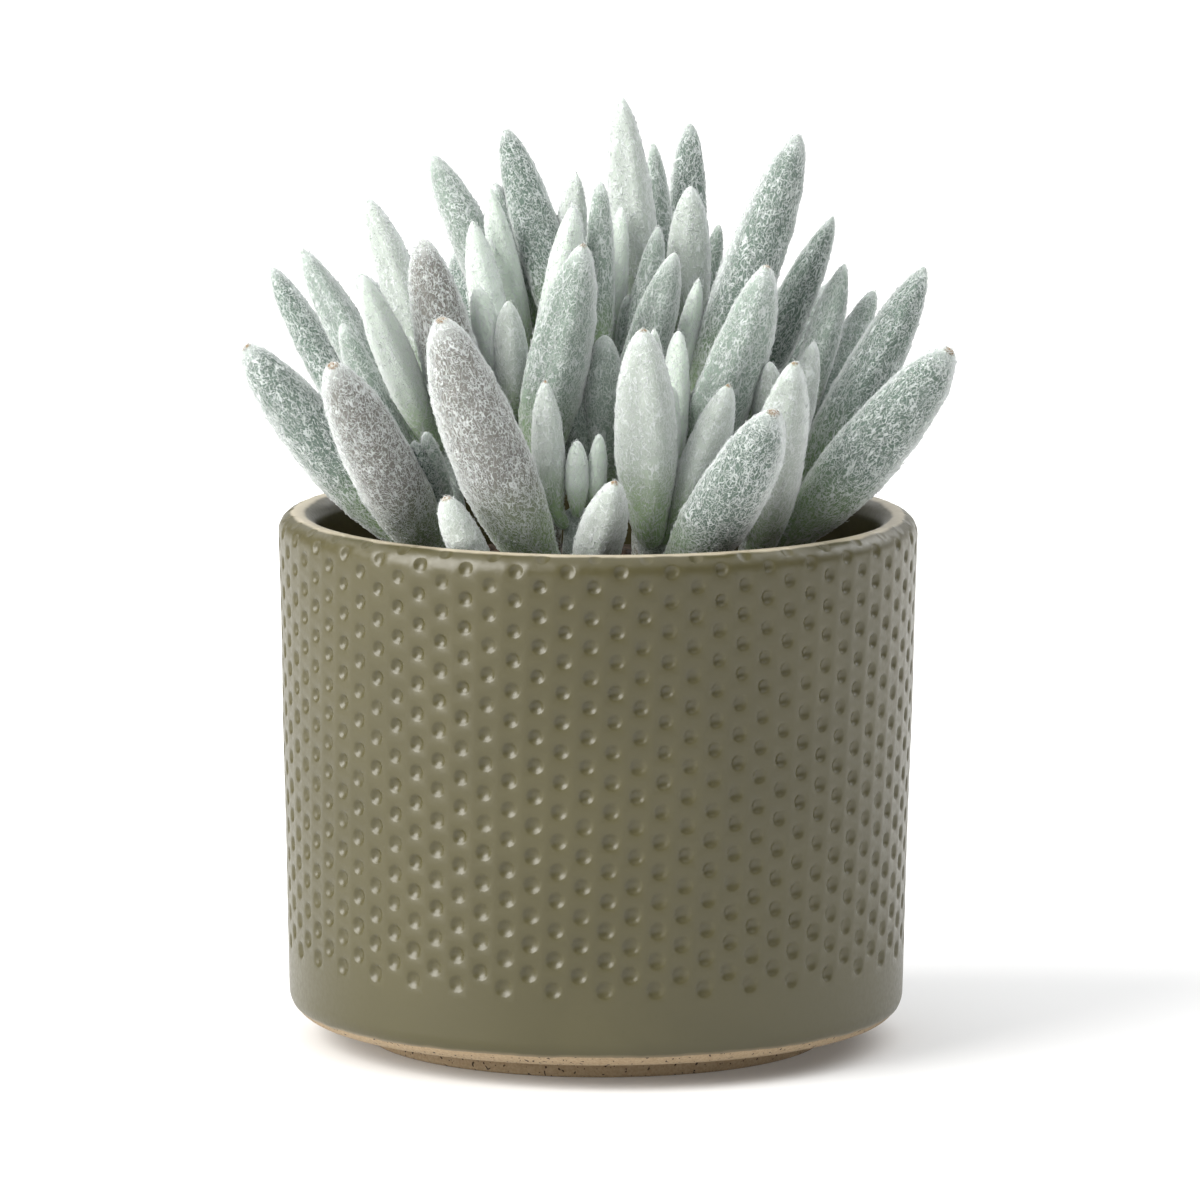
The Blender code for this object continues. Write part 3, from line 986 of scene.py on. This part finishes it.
def build_leaf(name, leaf, look, felt, draw):
    """Makes the leaf's felt, and returns its points ring by ring for the wool to grow on."""
    points, grain, flesh, cover = leaf.surface(look, draw)
    poles = LEAF_STEPS * LEAF_SIDES, LEAF_STEPS * LEAF_SIDES + 1
    faces = tube_faces(LEAF_STEPS, LEAF_SIDES, *poles)
    if outward_share(points, faces[0], leaf.centre(0.03)) < 0:
        faces = [tuple(reversed(face)) for face in faces]
    made = new_object(name, points, faces, felt, "leaf", grain=grain, flesh=flesh, cover=cover)
    return made, points[: LEAF_STEPS * LEAF_SIDES].reshape(LEAF_STEPS, LEAF_SIDES, 3)


def outward_share(points, face, inside):
    """Above 0 where a face looks away from a point inside."""
    a, b, c = (np.asarray(points[n]) for n in face[:3])
    return np.cross(b - a, c - a) @ (a - inside)


def hairs_on(grid, density, numbers):
    """Points and faces of short bent hairs, spread evenly over a leaf's grid of points. Each hair is
    a spindle: pointed at its root and tip, and thickest at the bend in its middle."""
    here, further = grid[:-1], grid[1:]
    beside = np.roll(grid, -1, axis=1)[:-1]
    areas = np.linalg.norm(np.cross(further - here, beside - here), axis=2)
    count = int(areas.sum() * density)
    cells = numbers.choice(areas.size, size=count, p=areas.ravel() / areas.sum())
    k, i = np.divmod(cells, areas.shape[1])
    down, round_by = numbers.random((count, 1)), numbers.random((count, 1))
    along = further[k, i] - here[k, i]
    around = beside[k, i] - here[k, i]
    root = here[k, i] + along * down + around * round_by
    core = here.mean(axis=1)[k]
    along = along / np.linalg.norm(along, axis=1, keepdims=True)
    up = np.cross(along, around)
    up = up / np.linalg.norm(up, axis=1, keepdims=True)
    up *= np.sign(np.sum(up * (root - core), axis=1, keepdims=True))
    across = np.cross(up, along)

    heading = numbers.normal(0.0, 1.0, count)
    bend = numbers.uniform(-HAIR_BEND, HAIR_BEND, count)
    length = numbers.uniform(*HAIR_LENGTH, count)[:, None]
    lift = HAIR_LIFT * numbers.uniform(0.2, 1.0, count)[:, None]
    first = along * np.cos(heading)[:, None] + across * np.sin(heading)[:, None]
    second = along * np.cos(heading + bend)[:, None] + across * np.sin(heading + bend)[:, None]
    middle = root + first * length / 2 + up * lift
    tip = middle + second * length / 2 + up * lift * numbers.uniform(-0.7, 0.7, count)[:, None]
    sideways = np.cross(up, first)
    points = np.empty((count, HAIR_CORNERS + 2, 3))
    points[:, 0] = root - up * HAIR_ROOT
    for corner in range(HAIR_CORNERS):
        a = 2 * math.pi * corner / HAIR_CORNERS
        points[:, 1 + corner] = middle + (sideways * math.cos(a) + up * math.sin(a)) * HAIR_RADIUS
    points[:, -1] = tip
    faces = np.array(HAIR_FACES)[None] + points.shape[1] * np.arange(count)[:, None, None]
    return points.reshape(-1, 3), faces.reshape(-1, 3)


def build_wool(name, grids, wool, seed):
    """One piece of hairs for all the leaves of a stem."""
    numbers = np.random.default_rng(seed)
    points, faces, start = [], [], 0
    for grid, density in grids:
        hair_points, hair_faces = hairs_on(grid, density, numbers)
        points.append(hair_points)
        faces.append(hair_faces + start)
        start += len(hair_points)
    new_object(name, np.vstack(points), np.vstack(faces).tolist(), wool, "leaf")


def build_stem(name, stem, felt):
    """Felted like the leaves, knobbly with the scars of old ones."""
    points, grain, flesh, cover = [], [], [], []
    dome = stem.pole[2] - stem.top[2]
    for k in range(STEM_STEPS):
        share = k / (STEM_STEPS - 1)
        height = lerp(stem.buried[2], stem.pole[2] - 0.1, share)
        centre, radius = stem.at(max(stem.collar[2], min(height, stem.top[2])))
        if height > stem.top[2]:
            radius *= math.sqrt(max(0.0, 1 - ((height - stem.top[2]) / dome) ** 2))
        for i in range(STEM_SIDES):
            a = 2 * math.pi * i / STEM_SIDES
            direction = Vector((math.cos(a), math.sin(a), 0))
            knob = noise.noise(Vector((centre[0], centre[1], height)) * 0.35 + direction * 1.4)
            out = radius * (1 + STEM_KNOBS * knob)
            points.append((centre[0] + out * direction.x, centre[1] + out * direction.y, height))
            grain.append(points[-1])
            old = 1 - smoothstep(stem.collar[2], stem.collar[2] + STEM_OLD_LENGTH, height)
            flesh.append(lerp(np.array(TONES["green"][0]), np.array(STEM_BROWN), old))
            cover.append(STEM_COVER - STEM_OLD_BARENESS * old)
    for centre, near in ((stem.buried, 0), (stem.pole, -1)):
        points.append(tuple(centre))
        grain.append(tuple(centre))
        flesh.append(flesh[near])
        cover.append(cover[near])
    poles = STEM_STEPS * STEM_SIDES, STEM_STEPS * STEM_SIDES + 1
    faces = tube_faces(STEM_STEPS, STEM_SIDES, *poles)
    grain = np.array(grain) * MM
    made = new_object(f"bark_{name}", points, faces, felt, "stem", grain=grain, flesh=flesh, cover=cover)
    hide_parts(f"stem_{name}")


def build_plant():
    felt, wool = felt_material(), wool_material()
    leaf_nodes = sorted(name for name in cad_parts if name.startswith("leaf_"))
    for order, (stem_name, looks) in enumerate(LOOKS.items()):
        stem = Stem(stem_name)
        build_stem(stem_name, stem, felt)
        grids = []
        for number, look in enumerate(looks, 1):
            node = f"leaf_{stem_name}_{number}"
            draw = random.Random(100 * order + number)
            made, grid = build_leaf(f"felt_{stem_name}_{number}", Leaf.of_node(node), look, felt, draw)
            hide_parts(node)
            leaf_nodes.remove(node)
            grids.append((grid, HAIRS_PER_MM2[look[0]]))
        for number, (height, tip, width, look) in enumerate(YOUNG_LEAVES.get(stem_name, ()), 1):
            leaf = Leaf.young(stem, height, tip, width)
            draw = random.Random(100 * order + 50 + number)
            _, grid = build_leaf(f"young_{stem_name}_{number}", leaf, look, felt, draw)
            grids.append((grid, HAIRS_PER_MM2[look[0]]))
        build_wool(f"wool_{stem_name}", grids, wool, seed=order)
    if leaf_nodes:
        raise ValueError(f"no look is given for {leaf_nodes}")


def build_camera():
    camera = bpy.data.cameras.new("camera")
    camera.sensor_width = SENSOR
    camera.lens = LENS
    camera.clip_end = 100.0
    made = bpy.data.objects.new("camera", camera)
    tilt = Matrix.Rotation(math.radians(90 - CAMERA_DOWN), 4, "X")
    roll = Matrix.Rotation(math.radians(CAMERA_ROLL), 4, "Z")
    made.matrix_world = Matrix.Translation(CAMERA_PLACE) @ tilt @ roll
    bpy.context.scene.collection.objects.link(made)
    bpy.context.scene.camera = made


def sun(name, azimuth, elevation, strength, softness, colour):
    """A wide soft light. Its azimuth is 0 at the viewer and grows to the viewer's right."""
    light = bpy.data.lights.new(name, "SUN")
    light.energy = strength
    light.angle = math.radians(softness)
    light.color = colour
    made = bpy.data.objects.new(name, light)
    a, e = math.radians(azimuth), math.radians(elevation)
    towards = Vector((math.sin(a) * math.cos(e), -math.cos(a) * math.cos(e), math.sin(e)))
    made.rotation_euler = towards.to_track_quat("Z", "Y").to_euler()
    bpy.context.scene.collection.objects.link(made)


def build_studio():
    """A wide pale floor that curves up at its far edge, a white room and soft lights."""
    points = []
    for radius, height in COVE:
        for i in range(COVE_SIDES):
            a = 2 * math.pi * i / COVE_SIDES
            points.append((radius * math.cos(a), radius * math.sin(a), height))
    faces = [tuple(range(COVE_SIDES)), *tube_faces(len(COVE), COVE_SIDES)]
    mesh = bpy.data.meshes.new("floor")
    mesh.from_pydata(points, [], faces)
    mesh.materials.append(floor_material())
    floor = bpy.data.objects.new("floor", mesh)
    bpy.context.scene.collection.objects.link(floor)

    world = bpy.data.worlds.new("studio")
    world.use_nodes = True
    background = world.node_tree.nodes["Background"]
    background.inputs["Color"].default_value = (1.0, 1.0, 1.0, 1.0)
    background.inputs["Strength"].default_value = ROOM_LIGHT
    bpy.context.scene.world = world
    for light in LIGHTS:
        sun(*light)
    bpy.context.scene.view_settings.view_transform = "Standard"


def main():
    build_camera()
    build_studio()
    build_pot()
    soil = soil_material()
    build_soil(soil)
    build_crumbs(soil)
    build_plant()


main()
